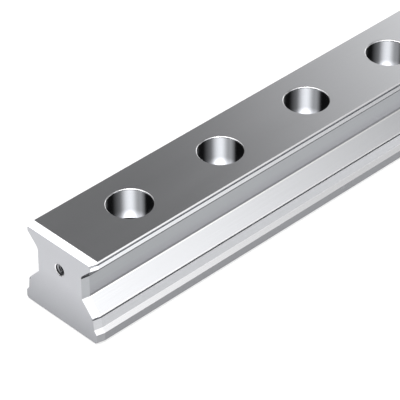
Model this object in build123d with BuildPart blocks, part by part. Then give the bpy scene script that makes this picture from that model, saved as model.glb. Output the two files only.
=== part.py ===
from build123d import *
import math
import os

# Roller guide rail, size 35: a straight bar of hardened and ground steel that is bolted
# down through a row of counterbored holes. The rollers of a carriage run on the slanted
# raceways of both long sides. Lengths are in millimetres. X is along the rail, Y across
# it, Z up, and Z = 0 is the ground bottom face.

# Overall sizes
rail_length = 500.0
base_width = 34.0
rail_height = 30.8

# Head: edge chamfer, clip groove for a cover strip, and the side below the groove
head_width = 30.2
top_edge_chamfer = 0.45
clip_groove_height = 0.65
clip_groove_depth = 1.0
head_side_height = 1.5

# Neck and raceways
neck_width = 21.2
neck_foot_height = 15.1
neck_head_fillet = 1.5
neck_foot_fillet = 0.4
upper_raceway_angle = 45.0
raceway_end_height = 9.75
raceway_lip = 0.1

# Foot: grinding relief under the raceway, flank, step out to the base and its side
relief_height = 0.55
relief_depth = 1.2
flank_end_height = 5.5
flank_run_out = 0.35
base_step = 1.15
base_side_height = 3.95
bottom_chamfer = 1.05

# Long, shallow chamfer all round each end, on which a carriage runs in
end_chamfer_length = 2.9
end_chamfer_depth = 0.6

# Row of mounting holes for M8 socket head screws
hole_pitch = 40.0
first_hole_distance = 30.0
bolt_hole_diameter = 9.0
counterbore_diameter = 15.0
counterbore_depth = 11.4
counterbore_edge = 0.4

# Hole for an M4 thread in each end face, at the thread's outer diameter
tapped_hole_diameter = 4.0
tapped_hole_mouth = 4.5
tapped_hole_mouth_angle = 90.0
tapped_hole_depth = 12.0
tapped_hole_height = 20.9
drill_point_angle = 118.0

# Derived sizes, as half widths and heights
hole_count = int(round((rail_length - 2 * first_hole_distance) / hole_pitch)) + 1
groove_top = rail_height - top_edge_chamfer
groove_bottom = groove_top - clip_groove_height
head_edge = groove_bottom - head_side_height
undercut = (head_width - neck_width) / 2
neck_head_height = head_edge - undercut * math.tan(math.radians(upper_raceway_angle))
flank_end = base_width / 2 - base_step
flank_top = flank_end - flank_run_out
raceway_end = flank_top - raceway_lip
relief_bottom = raceway_end_height - relief_height
groove_reach = 1.0
tolerance = 0.01
drill_point_length = tapped_hole_diameter / 2 / math.tan(math.radians(drill_point_angle / 2))


def end_plane(side):
    """Work plane on an end face, looking outwards, centred on the tapped hole."""
    return Plane(origin=(side * rail_length / 2, 0, tapped_hole_height), x_dir=(0, 1, 0), z_dir=(side, 0, 0))


with BuildPart() as guide_rail:
    # Section of the rail, drawn as its +Y half and mirrored
    with BuildSketch(Plane.YZ) as section:
        with BuildLine():
            Polyline(
                (0, 0),
                (base_width / 2 - bottom_chamfer, 0),
                (base_width / 2, bottom_chamfer),
                (base_width / 2, base_side_height),
                (flank_end, flank_end_height),
                (flank_top, relief_bottom),
                (raceway_end, raceway_end_height),
                (neck_width / 2, neck_foot_height),
                (neck_width / 2, neck_head_height),
                (head_width / 2, head_edge),
                (head_width / 2, groove_top),
                (head_width / 2 - top_edge_chamfer, rail_height),
                (0, rail_height),
            )
            mirror(about=Plane.YZ)
        make_face()
        neck_corners = section.vertices().filter_by(lambda v: abs(abs(v.X) - neck_width / 2) < tolerance)
        fillet(neck_corners.group_by(Axis.Y)[-1], radius=neck_head_fillet)
        fillet(neck_corners.group_by(Axis.Y)[0], radius=neck_foot_fillet)
    extrude(amount=rail_length / 2, both=True)

    # Run-in chamfer round both end faces
    ends = guide_rail.faces().sort_by(Axis.X)
    for end_face in (ends[0], ends[-1]):
        chamfer(
            end_face.outer_wire().edges(),
            length=end_chamfer_depth,
            length2=end_chamfer_length,
            reference=end_face,
        )

    # Clip groove below the head's top edge and relief below the lower raceway
    with BuildSketch(Plane.YZ):
        with BuildLine():
            Polyline(
                (head_width / 2 + groove_reach, groove_bottom),
                (head_width / 2 - clip_groove_depth, groove_bottom),
                (head_width / 2 - clip_groove_depth, groove_top),
                (head_width / 2 + groove_reach, groove_top),
                close=True,
            )
        make_face()
        with BuildLine():
            Polyline(
                (flank_top + groove_reach, relief_bottom),
                (flank_top - relief_depth, relief_bottom),
                (flank_top - relief_depth, raceway_end_height),
                (flank_top + groove_reach, raceway_end_height),
                close=True,
            )
        make_face()
        mirror(about=Plane.YZ)
    extrude(amount=rail_length / 2, both=True, mode=Mode.SUBTRACT)

    # Row of counterbored mounting holes, their rims chamfered
    with Locations((0, 0, rail_height)):
        with GridLocations(hole_pitch, hole_pitch, hole_count, 1):
            CounterBoreHole(
                radius=bolt_hole_diameter / 2,
                counter_bore_radius=counterbore_diameter / 2,
                counter_bore_depth=counterbore_depth,
                depth=rail_height,
            )
    rims = (
        guide_rail.edges()
        .filter_by(GeomType.CIRCLE)
        .filter_by(lambda e: abs(e.radius - counterbore_diameter / 2) < tolerance)
        .filter_by(lambda e: abs(e.center().Z - rail_height) < tolerance)
    )
    chamfer(rims, length=counterbore_edge)

    # Tapped hole in each end face, with a drill point at its bottom
    for side in (-1, 1):
        with Locations(end_plane(side)):
            CounterSinkHole(
                radius=tapped_hole_diameter / 2,
                counter_sink_radius=tapped_hole_mouth / 2,
                depth=tapped_hole_depth,
                counter_sink_angle=tapped_hole_mouth_angle,
            )
        with Locations(end_plane(side).offset(-tapped_hole_depth)):
            Cone(
                bottom_radius=tapped_hole_diameter / 2,
                top_radius=0,
                height=drill_point_length,
                rotation=(180, 0, 0),
                align=(Align.CENTER, Align.CENTER, Align.MIN),
                mode=Mode.SUBTRACT,
            )

guide_rail.part.label = "guide_rail"

os.makedirs("parts", exist_ok=True)
export_step(guide_rail.part, "parts/guide_rail.step")

box = guide_rail.part.bounding_box()
print("size", round(box.size.X, 3), round(box.size.Y, 3), round(box.size.Z, 3))
print("solids", len(guide_rail.part.solids()), "faces", len(guide_rail.part.faces()))
print("volume cm3", round(guide_rail.part.volume / 1000, 2), "holes", hole_count)
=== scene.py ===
import math

import bmesh
import bpy
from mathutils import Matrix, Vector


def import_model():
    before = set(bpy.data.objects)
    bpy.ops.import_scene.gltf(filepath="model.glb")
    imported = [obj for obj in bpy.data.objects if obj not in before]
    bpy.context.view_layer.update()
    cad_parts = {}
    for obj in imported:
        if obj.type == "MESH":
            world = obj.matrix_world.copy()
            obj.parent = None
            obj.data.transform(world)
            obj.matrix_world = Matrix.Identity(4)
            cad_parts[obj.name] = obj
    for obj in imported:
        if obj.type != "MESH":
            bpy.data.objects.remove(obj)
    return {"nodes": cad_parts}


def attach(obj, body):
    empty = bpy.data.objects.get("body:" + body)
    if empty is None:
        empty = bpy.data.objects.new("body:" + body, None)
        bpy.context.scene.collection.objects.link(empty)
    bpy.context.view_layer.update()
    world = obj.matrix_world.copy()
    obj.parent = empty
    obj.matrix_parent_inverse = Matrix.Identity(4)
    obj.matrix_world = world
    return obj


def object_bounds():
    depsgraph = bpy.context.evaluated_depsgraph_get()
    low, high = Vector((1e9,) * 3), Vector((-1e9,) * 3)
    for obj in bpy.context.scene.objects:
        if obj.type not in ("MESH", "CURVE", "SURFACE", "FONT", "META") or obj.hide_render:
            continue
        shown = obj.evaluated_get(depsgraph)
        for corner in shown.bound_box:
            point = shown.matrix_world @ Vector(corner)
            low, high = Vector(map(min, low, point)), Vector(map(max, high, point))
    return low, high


# Roller guide rail: a hardened and ground steel bar on a pale studio floor, seen from above its
# near end. X runs along the rail, away from that end, Y across it to its left side, and Z up.
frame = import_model()
first_low, first_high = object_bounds()
rail = frame["nodes"]["guide_rail"]

# Sizes that the finishes and threads follow, in millimetres
RAIL_HEIGHT = 30.8
END_X = 250.0
END_SKIN = 0.03
END_FOOT = 1.0
END_WAIST = 17.0
RUN_IN_LENGTH = 2.9
HEAD_SIDE_MIDDLE = 28.94
HEAD_SIDE_HALF_HEIGHT = 0.78
TOP_EDGE_START = 30.33
HOLE_PITCH = 40.0
RIM_RADIUS = 7.9
RIM_MARGIN = 0.02
RIM_CHAMFER = 0.4
COUNTERBORE_FLOOR = 19.4
# Height of the painted reflection at the foot of the bored walls
PAINTED_FLARE_HEIGHT = 3.7
TAPPED_HOLE_HEIGHT = 20.9
TAPPED_HOLE_REACH = 15.0
TAPPED_MOUTH_RADIUS = 2.25
TAPPED_MOUTH_DEPTH = 0.25
THREAD_PITCH = 0.7
THREAD_START = 0.3
THREAD_TURNS = 15
THREAD_STEPS = 20
# Section of the thread's ridge: distance along the hole and from its axis. Its foot is sunk a
# little into the wall.
THREAD_RIDGE = [(0.0, 2.03), (0.2852, 1.65), (0.3588, 1.65), (0.644, 2.03)]

# Upward slopes added to the normals: of the crowned head side, of the edge over it, and of the
# bored holes' feed ridges, which lean 50 degrees
CROWN_SLOPE = 0.88
EDGE_SLOPE = -0.22
RIDGE_SLOPE = 1.19


def srgb(text):
    """An sRGB hex colour as the linear values a shader takes."""
    parts = [int(text[i : i + 2], 16) / 255 for i in (1, 3, 5)]
    return [c / 12.92 if c <= 0.04045 else ((c + 0.055) / 1.055) ** 2.4 for c in parts] + [1.0]


def add_node(tree, kind, settings=None, **inputs):
    """Adds a node with its settings and fills its inputs.

    An input is named, with _ for a space, or numbered, as i0 or i1. A node or an output is
    linked to it, and anything else is its value.
    """
    node = tree.nodes.new(kind)
    for name, value in (settings or {}).items():
        setattr(node, name, value)
    for name, value in inputs.items():
        numbered = name[0] == "i" and name[1:].isdigit()
        socket = node.inputs[int(name[1:]) if numbered else name.replace("_", " ")]
        if isinstance(value, bpy.types.Node):
            value = value.outputs[0]
        if isinstance(value, bpy.types.NodeSocket):
            tree.links.new(value, socket)
        else:
            socket.default_value = value
    return node


def new_material(name):
    """An empty node material and its tree."""
    material = bpy.data.materials.new(name)
    material.use_nodes = True
    material.node_tree.nodes.clear()
    return material, material.node_tree


# Finish of the section by height: where each face starts, its colour along the rail, its colour
# on the run-in chamfer of the ends, and its roughness
SECTION_FINISH = [
    ("bottom face", 0.0, "#D4D5D8", "#D4D5D8", 0.16),
    # The foot's chamfer and side are darker partly as milled steel and partly as painted shade, for
    # the shaded floor beside the rail that they mirror
    ("bottom chamfer", 0.05, "#909194", "#9A9B9E", 0.3),
    ("foot side", 1.05, "#8B8C8F", "#9A9B9E", 0.3),
    ("step", 3.97, "#F8F8FA", "#FAFAFC", 0.16),
    ("flank", 5.5, "#BDBEC1", "#C4C5C8", 0.24),
    ("relief", 9.15, "#FAFAFC", "#E8E9EC", 0.4),
    # Painted highlight along the raceway's lower edge
    ("painted highlight on the raceway lip", 9.77, "#FCFCFD", "#F0F1F3", 0.14),
    ("lower raceway", 10.02, "#E9EAED", "#F0F1F3", 0.14),
    # Painted highlight along the raceway's upper edge
    ("painted highlight on the raceway shoulder", 14.65, "#FFFFFF", "#F0F1F3", 0.14),
    # Painted shade in the corner over the raceway. The neck is darker partly as milled steel and
    # partly as painted shade, and that painted shade deepens towards its foot.
    ("painted shade in the neck corner", 15.0, "#7E7F82", "#A8AAAD", 0.32),
    ("neck foot", 15.8, "#96979B", "#ACAEB1", 0.3),
    ("lower neck", 16.7, "#999A9E", "#ACAEB1", 0.3),
    ("middle of the neck", 17.6, "#9C9DA1", "#ACAEB1", 0.3),
    ("neck", 18.6, "#9EA0A3", "#ACAEB1", 0.3),
    # Painted shade on the neck under the head, and on the run-in chamfers of the neck top and of
    # the upper raceway
    ("painted shade under the head", 22.95, "#56575A", "#26272A", 0.3),
    ("upper raceway", 23.6, "#E0E1E4", "#26272A", 0.14),
    ("head side", 28.15, "#EEEFF2", "#F4F5F7", 0.2),
    ("clip groove", 29.62, "#C6C7CA", "#C6C7CA", 0.35),
    ("groove top", 30.05, "#C6C7CA", "#FAFAFC", 0.18),
    ("top edge", 30.32, "#F4F4F6", "#FAFAFC", 0.18),
    ("top", RAIL_HEIGHT - 0.02, "#E0E1E4", "#E0E1E4", 0.14),
]


def rail_steel():
    """Bearing steel: hard and bright where it is ground, greyer where it is only milled or bored.

    Ground faces mirror the room softly, drawn out across their fine marks, which run along
    the rail. The milled neck and foot are duller, and darker partly by their finish and partly
    by painted shade. Painted highlights line the lower raceway's edges and the tapped holes'
    mouths. Painted shade lies in the neck, under the head, low on the end faces and inside the
    tapped and bored holes, and a painted reflection lightens the foot of the bored walls. The
    bored holes shine in upright streaks, because their tool marks run round them.
    """
    material, tree = new_material("ground_bearing_steel")
    place = add_node(tree, "ShaderNodeTexCoord").outputs["Object"]
    mm = add_node(tree, "ShaderNodeVectorMath", {"operation": "SCALE"}, i0=place, Scale=1000.0)
    xyz = add_node(tree, "ShaderNodeSeparateXYZ", Vector=mm)
    x, y, z = xyz.outputs

    # Colour and roughness by height on the section, along the rail and on its run-in chamfers
    height = add_node(tree, "ShaderNodeMath", {"operation": "DIVIDE"}, i0=z, i1=RAIL_HEIGHT)
    section = add_node(tree, "ShaderNodeValToRGB", Fac=height)
    run_in = add_node(tree, "ShaderNodeValToRGB", Fac=height)
    for ramp, column in ((section.color_ramp, 2), (run_in.color_ramp, 3)):
        ramp.interpolation = "CONSTANT"
        for number, face in enumerate(SECTION_FINISH):
            stop = ramp.elements[0] if number == 0 else ramp.elements.new(face[1] / RAIL_HEIGHT)
            stop.color = srgb(face[column])[:3] + [face[4]]
        # The white stop that every new ramp ends with
        ramp.elements.remove(ramp.elements[-1])
    from_middle = add_node(tree, "ShaderNodeMath", {"operation": "ABSOLUTE"}, i0=x)
    on_run_in = add_node(
        tree,
        "ShaderNodeMath",
        {"operation": "GREATER_THAN"},
        i0=from_middle,
        i1=END_X - RUN_IN_LENGTH,
    )
    along = add_node(
        tree, "ShaderNodeMix", {"data_type": "RGBA"}, i0=on_run_in, i6=section, i7=run_in
    )

    # The end faces, sawn and then ground across, with painted shade that darkens them towards the
    # foot
    on_end = add_node(
        tree, "ShaderNodeMath", {"operation": "GREATER_THAN"}, i0=from_middle, i1=END_X - END_SKIN
    )
    up_the_end = add_node(
        tree, "ShaderNodeMapRange", Value=z, From_Min=END_FOOT, From_Max=END_WAIST
    )
    end_colour_and_painted_shade = add_node(
        tree,
        "ShaderNodeMix",
        {"data_type": "RGBA"},
        i0=up_the_end,
        i6=srgb("#9B9CA0"),
        i7=srgb("#BBBCC0"),
    )

    # The tapped hole in each end: a painted highlight on its mouth, and painted shade inside it
    above_tap = add_node(
        tree, "ShaderNodeMath", {"operation": "SUBTRACT"}, i0=z, i1=TAPPED_HOLE_HEIGHT
    )
    from_tap = add_node(tree, "ShaderNodeCombineXYZ", Y=y, Z=above_tap)
    tap_radius = add_node(
        tree, "ShaderNodeVectorMath", {"operation": "LENGTH"}, i0=from_tap
    ).outputs["Value"]
    near_tap = add_node(
        tree, "ShaderNodeMath", {"operation": "LESS_THAN"}, i0=tap_radius, i1=TAPPED_MOUTH_RADIUS
    )
    near_end = add_node(
        tree,
        "ShaderNodeMath",
        {"operation": "GREATER_THAN"},
        i0=from_middle,
        i1=END_X - TAPPED_HOLE_REACH,
    )
    in_tap = add_node(tree, "ShaderNodeMath", {"operation": "MULTIPLY"}, i0=near_tap, i1=near_end)
    in_mouth = add_node(
        tree,
        "ShaderNodeMath",
        {"operation": "GREATER_THAN"},
        i0=from_middle,
        i1=END_X - TAPPED_MOUTH_DEPTH,
    )
    tap_painted_highlight_and_shade = add_node(
        tree,
        "ShaderNodeMix",
        {"data_type": "RGBA"},
        i0=in_mouth,
        i6=srgb("#505154"),
        i7=srgb("#F5F5F7"),
    )

    # Distance from the nearest bolt hole's axis
    past_midway = add_node(
        tree, "ShaderNodeMath", {"operation": "WRAP"}, i0=x, i1=HOLE_PITCH, i2=0.0
    )
    along_hole = add_node(
        tree, "ShaderNodeMath", {"operation": "SUBTRACT"}, i0=past_midway, i1=HOLE_PITCH / 2
    )
    from_axis = add_node(tree, "ShaderNodeCombineXYZ", X=along_hole, Y=y)
    radius = add_node(
        tree, "ShaderNodeVectorMath", {"operation": "LENGTH"}, i0=from_axis
    ).outputs["Value"]
    within_rim = add_node(
        tree, "ShaderNodeMath", {"operation": "LESS_THAN"}, i0=radius, i1=RIM_RADIUS + RIM_MARGIN
    )
    below_rim = add_node(
        tree, "ShaderNodeMath", {"operation": "LESS_THAN"}, i0=z, i1=RAIL_HEIGHT - RIM_CHAMFER
    )
    in_hole = add_node(
        tree, "ShaderNodeMath", {"operation": "MULTIPLY"}, i0=within_rim, i1=below_rim
    )

    # Grinding marks: lines along the rail, drawn 0.3 mm apart, because real ones of about 0.03 mm
    # would not show
    lay = add_node(
        tree, "ShaderNodeVectorMath", {"operation": "MULTIPLY"}, i0=mm, i1=(0.02, 3.3, 3.3)
    )
    noise = add_node(tree, "ShaderNodeTexNoise", Vector=lay, Scale=1.0, Detail=3.0, Roughness=0.6)
    marks = noise.outputs["Fac"]
    # Faint clouds 8 mm wide and some centimetres long, left by the wheel's passes
    passes = add_node(
        tree, "ShaderNodeVectorMath", {"operation": "MULTIPLY"}, i0=mm, i1=(0.02, 0.12, 0.12)
    )
    clouds = add_node(
        tree, "ShaderNodeTexNoise", Vector=passes, Scale=1.0, Detail=2.0
    ).outputs["Fac"]

    outside = add_node(
        tree,
        "ShaderNodeMix",
        {"data_type": "RGBA"},
        i0=on_end,
        i6=along.outputs[2],
        i7=end_colour_and_painted_shade.outputs[2],
    )
    colour = add_node(
        tree,
        "ShaderNodeMix",
        {"data_type": "RGBA"},
        i0=in_tap,
        i6=outside.outputs[2],
        i7=tap_painted_highlight_and_shade.outputs[2],
    )
    shade = add_node(
        tree,
        "ShaderNodeMapRange",
        Value=marks,
        From_Min=0.3,
        From_Max=0.7,
        To_Min=0.98,
        To_Max=1.02,
    )
    shaded = add_node(
        tree, "ShaderNodeVectorMath", {"operation": "SCALE"}, i0=colour.outputs[2], Scale=shade
    )
    gloss = add_node(tree, "ShaderNodeMix", i0=on_end, i2=section.outputs["Alpha"], i3=0.3)
    uneven = add_node(
        tree, "ShaderNodeMapRange", Value=clouds, From_Min=0.3, From_Max=0.7, To_Min=0.9, To_Max=1.1
    )
    rough = add_node(tree, "ShaderNodeMath", {"operation": "MULTIPLY"}, i0=gloss, i1=uneven)
    normal = add_node(tree, "ShaderNodeNewGeometry").outputs["Normal"]
    across = add_node(
        tree, "ShaderNodeVectorMath", {"operation": "CROSS_PRODUCT"}, i0=normal, i1=(1.0, 0.01, 0.0)
    )
    scored = add_node(tree, "ShaderNodeBump", Height=marks, Strength=0.09, Distance=0.00002)

    # The side of the head is ground slightly crowned, so that it catches light from above, and the
    # edge over the clip groove leans a little further out
    facing = add_node(tree, "ShaderNodeSeparateXYZ", Vector=normal)
    sideways = add_node(tree, "ShaderNodeMath", {"operation": "ABSOLUTE"}, i0=facing.outputs["Y"])
    on_head_side = add_node(
        tree,
        "ShaderNodeMath",
        {"operation": "COMPARE"},
        i0=z,
        i1=HEAD_SIDE_MIDDLE,
        i2=HEAD_SIDE_HALF_HEIGHT,
    )
    on_edge = add_node(
        tree, "ShaderNodeMath", {"operation": "GREATER_THAN"}, i0=z, i1=TOP_EDGE_START
    )
    lean = add_node(tree, "ShaderNodeMath", {"operation": "MULTIPLY"}, i0=on_edge, i1=EDGE_SLOPE)
    turn = add_node(
        tree,
        "ShaderNodeMath",
        {"operation": "MULTIPLY_ADD"},
        i0=on_head_side,
        i1=CROWN_SLOPE,
        i2=lean,
    )
    crown = add_node(tree, "ShaderNodeMath", {"operation": "MULTIPLY"}, i0=sideways, i1=turn)
    lift = add_node(tree, "ShaderNodeCombineXYZ", Z=crown)
    crowned = add_node(tree, "ShaderNodeVectorMath", {"operation": "ADD"}, i0=lift, i1=scored)
    flat_face = add_node(tree, "ShaderNodeVectorMath", {"operation": "NORMALIZE"}, i0=crowned)

    # The hole's own round normals, truer than its mesh's flat facets: rise is their upward part
    rise = facing.outputs["Z"]
    squared = add_node(tree, "ShaderNodeMath", {"operation": "MULTIPLY"}, i0=rise, i1=rise)
    rest = add_node(
        tree, "ShaderNodeMath", {"operation": "SUBTRACT", "use_clamp": True}, i0=1.0, i1=squared
    )
    level_part = add_node(tree, "ShaderNodeMath", {"operation": "SQRT"}, i0=rest)
    outward = add_node(tree, "ShaderNodeVectorMath", {"operation": "NORMALIZE"}, i0=from_axis)
    inward = add_node(tree, "ShaderNodeVectorMath", {"operation": "SCALE"}, i0=outward, Scale=-1.0)
    to_axis = add_node(
        tree, "ShaderNodeVectorMath", {"operation": "SCALE"}, i0=inward, Scale=level_part
    )
    # The rim is rounded over, from the wall to the top
    rim_turn = add_node(
        tree,
        "ShaderNodeMapRange",
        Value=z,
        From_Min=RAIL_HEIGHT - RIM_CHAMFER,
        From_Max=RAIL_HEIGHT,
    )
    turned_up = add_node(
        tree, "ShaderNodeMix", {"data_type": "VECTOR"}, i0=rim_turn, i4=inward, i5=(0.0, 0.0, 1.0)
    )
    rounded = add_node(
        tree, "ShaderNodeVectorMath", {"operation": "NORMALIZE"}, i0=turned_up.outputs[1]
    )
    face = add_node(
        tree, "ShaderNodeMix", {"data_type": "VECTOR"}, i0=within_rim, i4=flat_face, i5=rounded
    )
    ground = add_node(
        tree,
        "ShaderNodeBsdfPrincipled",
        Base_Color=shaded,
        Metallic=1.0,
        Roughness=rough,
        Anisotropic=0.4,
        Tangent=across,
        Normal=face.outputs[1],
    )

    # Bored holes: the tool's feed ridges face up and out of the hole. The wall is darker partly as
    # bored steel and partly as painted shade, and lighter at its foot as a painted reflection of
    # the lit counterbore floor.
    around_hole = add_node(
        tree,
        "ShaderNodeVectorMath",
        {"operation": "CROSS_PRODUCT"},
        i0=from_axis,
        i1=(0.0, 0.0, 1.0),
    )
    upright = add_node(
        tree, "ShaderNodeVectorMath", {"operation": "CROSS_PRODUCT"}, i0=normal, i1=around_hole
    )
    tipped = add_node(
        tree,
        "ShaderNodeMath",
        {"operation": "MULTIPLY_ADD"},
        i0=level_part,
        i1=RIDGE_SLOPE,
        i2=rise,
    )
    ridge_rise = add_node(tree, "ShaderNodeCombineXYZ", Z=tipped)
    ridge_slope = add_node(
        tree, "ShaderNodeVectorMath", {"operation": "ADD"}, i0=to_axis, i1=ridge_rise
    )
    ridges = add_node(tree, "ShaderNodeVectorMath", {"operation": "NORMALIZE"}, i0=ridge_slope)
    painted_flare = add_node(
        tree,
        "ShaderNodeMapRange",
        {"interpolation_type": "SMOOTHSTEP"},
        Value=z,
        From_Min=COUNTERBORE_FLOOR,
        From_Max=COUNTERBORE_FLOOR + PAINTED_FLARE_HEIGHT,
    )
    bore_painted_shade_and_flare = add_node(
        tree,
        "ShaderNodeMix",
        {"data_type": "RGBA"},
        i0=painted_flare,
        i6=srgb("#6C6D70"),
        i7=srgb("#48494B"),
    )
    bored = add_node(
        tree,
        "ShaderNodeBsdfPrincipled",
        Base_Color=bore_painted_shade_and_flare.outputs[2],
        Metallic=1.0,
        Roughness=0.17,
        Anisotropic=0.5,
        Tangent=upright,
        Normal=ridges,
    )
    both = add_node(tree, "ShaderNodeMixShader", i0=in_hole, i1=ground, i2=bored)
    add_node(tree, "ShaderNodeOutputMaterial", Surface=both)
    return material


def thread_steel():
    """Freshly cut thread: bright flanks that catch the light between dark roots."""
    material, tree = new_material("cut_thread_steel")
    place = add_node(tree, "ShaderNodeTexCoord").outputs["Object"]
    # Torn metal, in spots of 0.2 mm
    torn = add_node(
        tree, "ShaderNodeTexNoise", Vector=place, Scale=5000.0, Detail=2.0
    ).outputs["Fac"]
    rough = add_node(
        tree, "ShaderNodeMapRange", Value=torn, From_Min=0.3, From_Max=0.7, To_Min=0.2, To_Max=0.35
    )
    steel = add_node(
        tree, "ShaderNodeBsdfPrincipled", Base_Color=srgb("#9A9B9E"), Metallic=1.0, Roughness=rough
    )
    add_node(tree, "ShaderNodeOutputMaterial", Surface=steel)
    return material


def thread(name, side, material):
    """The M4 thread's ridge in one end, wound round the hole from just inside the mouth."""
    bm = bmesh.new()
    start = side * (END_X - THREAD_START)
    inward = -side * THREAD_PITCH
    corners = [
        bm.verts.new((start - side * along, 0.0, TAPPED_HOLE_HEIGHT + radius))
        for along, radius in THREAD_RIDGE
    ]
    section = bm.faces.new(corners)
    bmesh.ops.spin(
        bm,
        geom=[section] + section.edges[:] + corners,
        cent=(0.0, 0.0, TAPPED_HOLE_HEIGHT),
        axis=(-side, 0.0, 0.0),
        dvec=(inward / THREAD_STEPS, 0.0, 0.0),
        angle=math.tau * THREAD_TURNS,
        steps=THREAD_STEPS * THREAD_TURNS,
    )
    bmesh.ops.scale(bm, vec=(0.001, 0.001, 0.001), verts=bm.verts)
    bmesh.ops.remove_doubles(bm, verts=bm.verts, dist=1e-7)
    bmesh.ops.recalc_face_normals(bm, faces=bm.faces)
    mesh = bpy.data.meshes.new(name)
    bm.to_mesh(mesh)
    bm.free()
    piece = bpy.data.objects.new(name, mesh)
    bpy.context.collection.objects.link(piece)
    mesh.materials.append(material)
    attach(piece, "root")


rail.data.materials.clear()
rail.data.materials.append(rail_steel())
cut_thread = thread_steel()
thread("near_end_thread", -1, cut_thread)
thread("far_end_thread", 1, cut_thread)


# The floor's own white, which with the light that it scatters makes a little more than 1, and how
# much of the floor, in metres, counts as under the rail
FLOOR_GLOW = 0.62
UNDER_HALF_LENGTH = 0.249
UNDER_HALF_WIDTH = 0.0155


def floor():
    """A pale studio floor under the rail, which keeps its soft shadow."""
    bpy.ops.mesh.primitive_plane_add(size=8.0, location=(0, 0, first_low.z))
    plane = bpy.context.object
    plane.name = "studio_floor"
    material, tree = new_material("white_floor")
    rays = add_node(tree, "ShaderNodeLightPath").outputs
    looked_at = add_node(
        tree,
        "ShaderNodeMath",
        {"operation": "MAXIMUM"},
        i0=rays["Is Camera Ray"],
        i1=rays["Is Glossy Ray"],
    )
    seen = add_node(
        tree,
        "ShaderNodeMath",
        {"operation": "MAXIMUM"},
        i0=looked_at,
        i1=rays["Is Transmission Ray"],
    )
    # None of that white under the rail, where the bolt holes would let it through
    place = add_node(tree, "ShaderNodeTexCoord").outputs["Object"]
    distance = add_node(tree, "ShaderNodeVectorMath", {"operation": "ABSOLUTE"}, i0=place)
    xyz = add_node(tree, "ShaderNodeSeparateXYZ", Vector=distance)
    beyond = add_node(
        tree,
        "ShaderNodeMath",
        {"operation": "GREATER_THAN"},
        i0=xyz.outputs["X"],
        i1=UNDER_HALF_LENGTH,
    )
    beside = add_node(
        tree,
        "ShaderNodeMath",
        {"operation": "GREATER_THAN"},
        i0=xyz.outputs["Y"],
        i1=UNDER_HALF_WIDTH,
    )
    clear = add_node(tree, "ShaderNodeMath", {"operation": "MAXIMUM"}, i0=beyond, i1=beside)
    open_floor = add_node(tree, "ShaderNodeMath", {"operation": "MULTIPLY"}, i0=seen, i1=clear)
    white = add_node(
        tree, "ShaderNodeMath", {"operation": "MULTIPLY"}, i0=open_floor, i1=FLOOR_GLOW
    )
    matte = add_node(tree, "ShaderNodeBsdfDiffuse", Color=srgb("#AEAEAE"))
    glow = add_node(tree, "ShaderNodeEmission", Color=srgb("#FFFFFF"), Strength=white)
    both = add_node(tree, "ShaderNodeAddShader", i0=matte, i1=glow)
    add_node(tree, "ShaderNodeOutputMaterial", Surface=both)
    plane.data.materials.append(material)


floor()

# Soft panels round the rail, in degrees: azimuth from +X towards +Y, elevation, half width and
# soft edge; and the brightness of each
ROOM = 0.06
PANELS = [
    ("overhead", 0, 90, 16, 26, 0.5),
    ("past the far end", 20, 15, 16, 17.5, 1.53),
    ("low, right of the far end", -32, 6, 10, 14, 1.3),
    ("dim wall on the left", 52, 37, 14, 24, 0.118),
    ("high on the left", 76, 58, 13, 8, 1.5),
    ("right", -62, 30, 4, 18.5, 1.29),
    ("higher on the right", -82, 38, 6, 14, 0.5),
    ("nearer on the right", -105, 27, 16, 18, 0.75),
    ("behind the viewer", -145, 26, 14, 19, 0.6),
    ("low before the near end", 172, 12, 14, 16, 0.5),
]
# A narrow bright strip above and behind the viewer, which the bored holes catch. It lies on a ring
# round the middle given here, 50 degrees from it. Its parts are given like the panels, and light
# only that ring.
RING = ("ring", 48, 67.3, 5, 5, 1.0)
RING_RADIUS = 50
STRIP = [
    ("bright middle", -128, 62.5, 2, 27, 11.6),
    ("fading ends", -132, 62.6, 20, 37, 2.5),
    ("sharp end", 153, 50, 5, 8, 1.9),
    ("next to the sharp end", -174, 59, 8, 20, 3.1),
]


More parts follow.
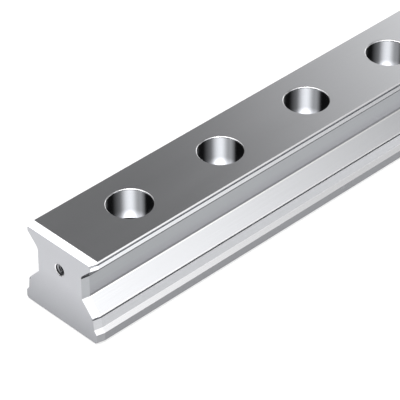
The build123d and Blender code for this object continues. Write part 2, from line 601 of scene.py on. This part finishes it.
def light_from(tree, looking, panel, ring_radius=0.0):
    """A panel's light in the looked-at direction, full inside its half width and fading outside.

    With a ring radius the panel is a band that far from its middle.
    """
    _, azimuth, elevation, half_width, edge, brightness = panel
    a, e = math.radians(azimuth), math.radians(elevation)
    middle = (math.cos(a) * math.cos(e), math.sin(a) * math.cos(e), math.sin(e))
    facing = add_node(
        tree, "ShaderNodeVectorMath", {"operation": "DOT_PRODUCT"}, i0=looking, i1=middle
    )
    angle = add_node(tree, "ShaderNodeMath", {"operation": "ARCCOSINE"}, i0=facing.outputs["Value"])
    past_ring = add_node(
        tree, "ShaderNodeMath", {"operation": "SUBTRACT"}, i0=angle, i1=math.radians(ring_radius)
    )
    off_middle = add_node(tree, "ShaderNodeMath", {"operation": "ABSOLUTE"}, i0=past_ring)
    return add_node(
        tree,
        "ShaderNodeMapRange",
        {"interpolation_type": "SMOOTHSTEP"},
        Value=off_middle,
        From_Min=math.radians(half_width + edge),
        From_Max=math.radians(half_width),
        To_Min=0.0,
        To_Max=brightness,
    )


def world():
    """A dim room with soft white panels, and a backdrop that is white itself."""
    studio = bpy.data.worlds.new("studio")
    studio.use_nodes = True
    tree = studio.node_tree
    tree.nodes.clear()
    looking = add_node(tree, "ShaderNodeTexCoord").outputs["Generated"]
    level = ROOM
    for panel in PANELS:
        light = light_from(tree, looking, panel)
        level = add_node(tree, "ShaderNodeMath", {"operation": "ADD"}, i0=level, i1=light)
    on_ring = light_from(tree, looking, RING, RING_RADIUS)
    for part in STRIP:
        light = light_from(tree, looking, part)
        level = add_node(
            tree, "ShaderNodeMath", {"operation": "MULTIPLY_ADD"}, i0=light, i1=on_ring, i2=level
        )
    rays = add_node(tree, "ShaderNodeLightPath").outputs
    seen = add_node(tree, "ShaderNodeMix", i0=rays["Is Camera Ray"], i2=level, i3=1.0)
    background = add_node(tree, "ShaderNodeBackground", Color=srgb("#FFFFFF"), Strength=seen)
    add_node(tree, "ShaderNodeOutputWorld", Surface=background)
    bpy.context.scene.world = studio


world()


def camera():
    """A long lens, looking down along the rail from past its near end, on its right."""
    lens = bpy.data.cameras.new("long_lens")
    lens.lens = 232.39
    lens.sensor_width = 36.0
    lens.clip_start = 0.05
    lens.clip_end = 20.0
    viewer = bpy.data.objects.new("viewer", lens)
    viewer.location = (-0.65189, -0.47718, 0.52297)
    viewer.rotation_euler = [math.radians(a) for a in (52.644, 0.236, -44.294)]
    bpy.context.collection.objects.link(viewer)
    bpy.context.scene.camera = viewer


camera()
bpy.context.scene.view_settings.view_transform = "Standard"
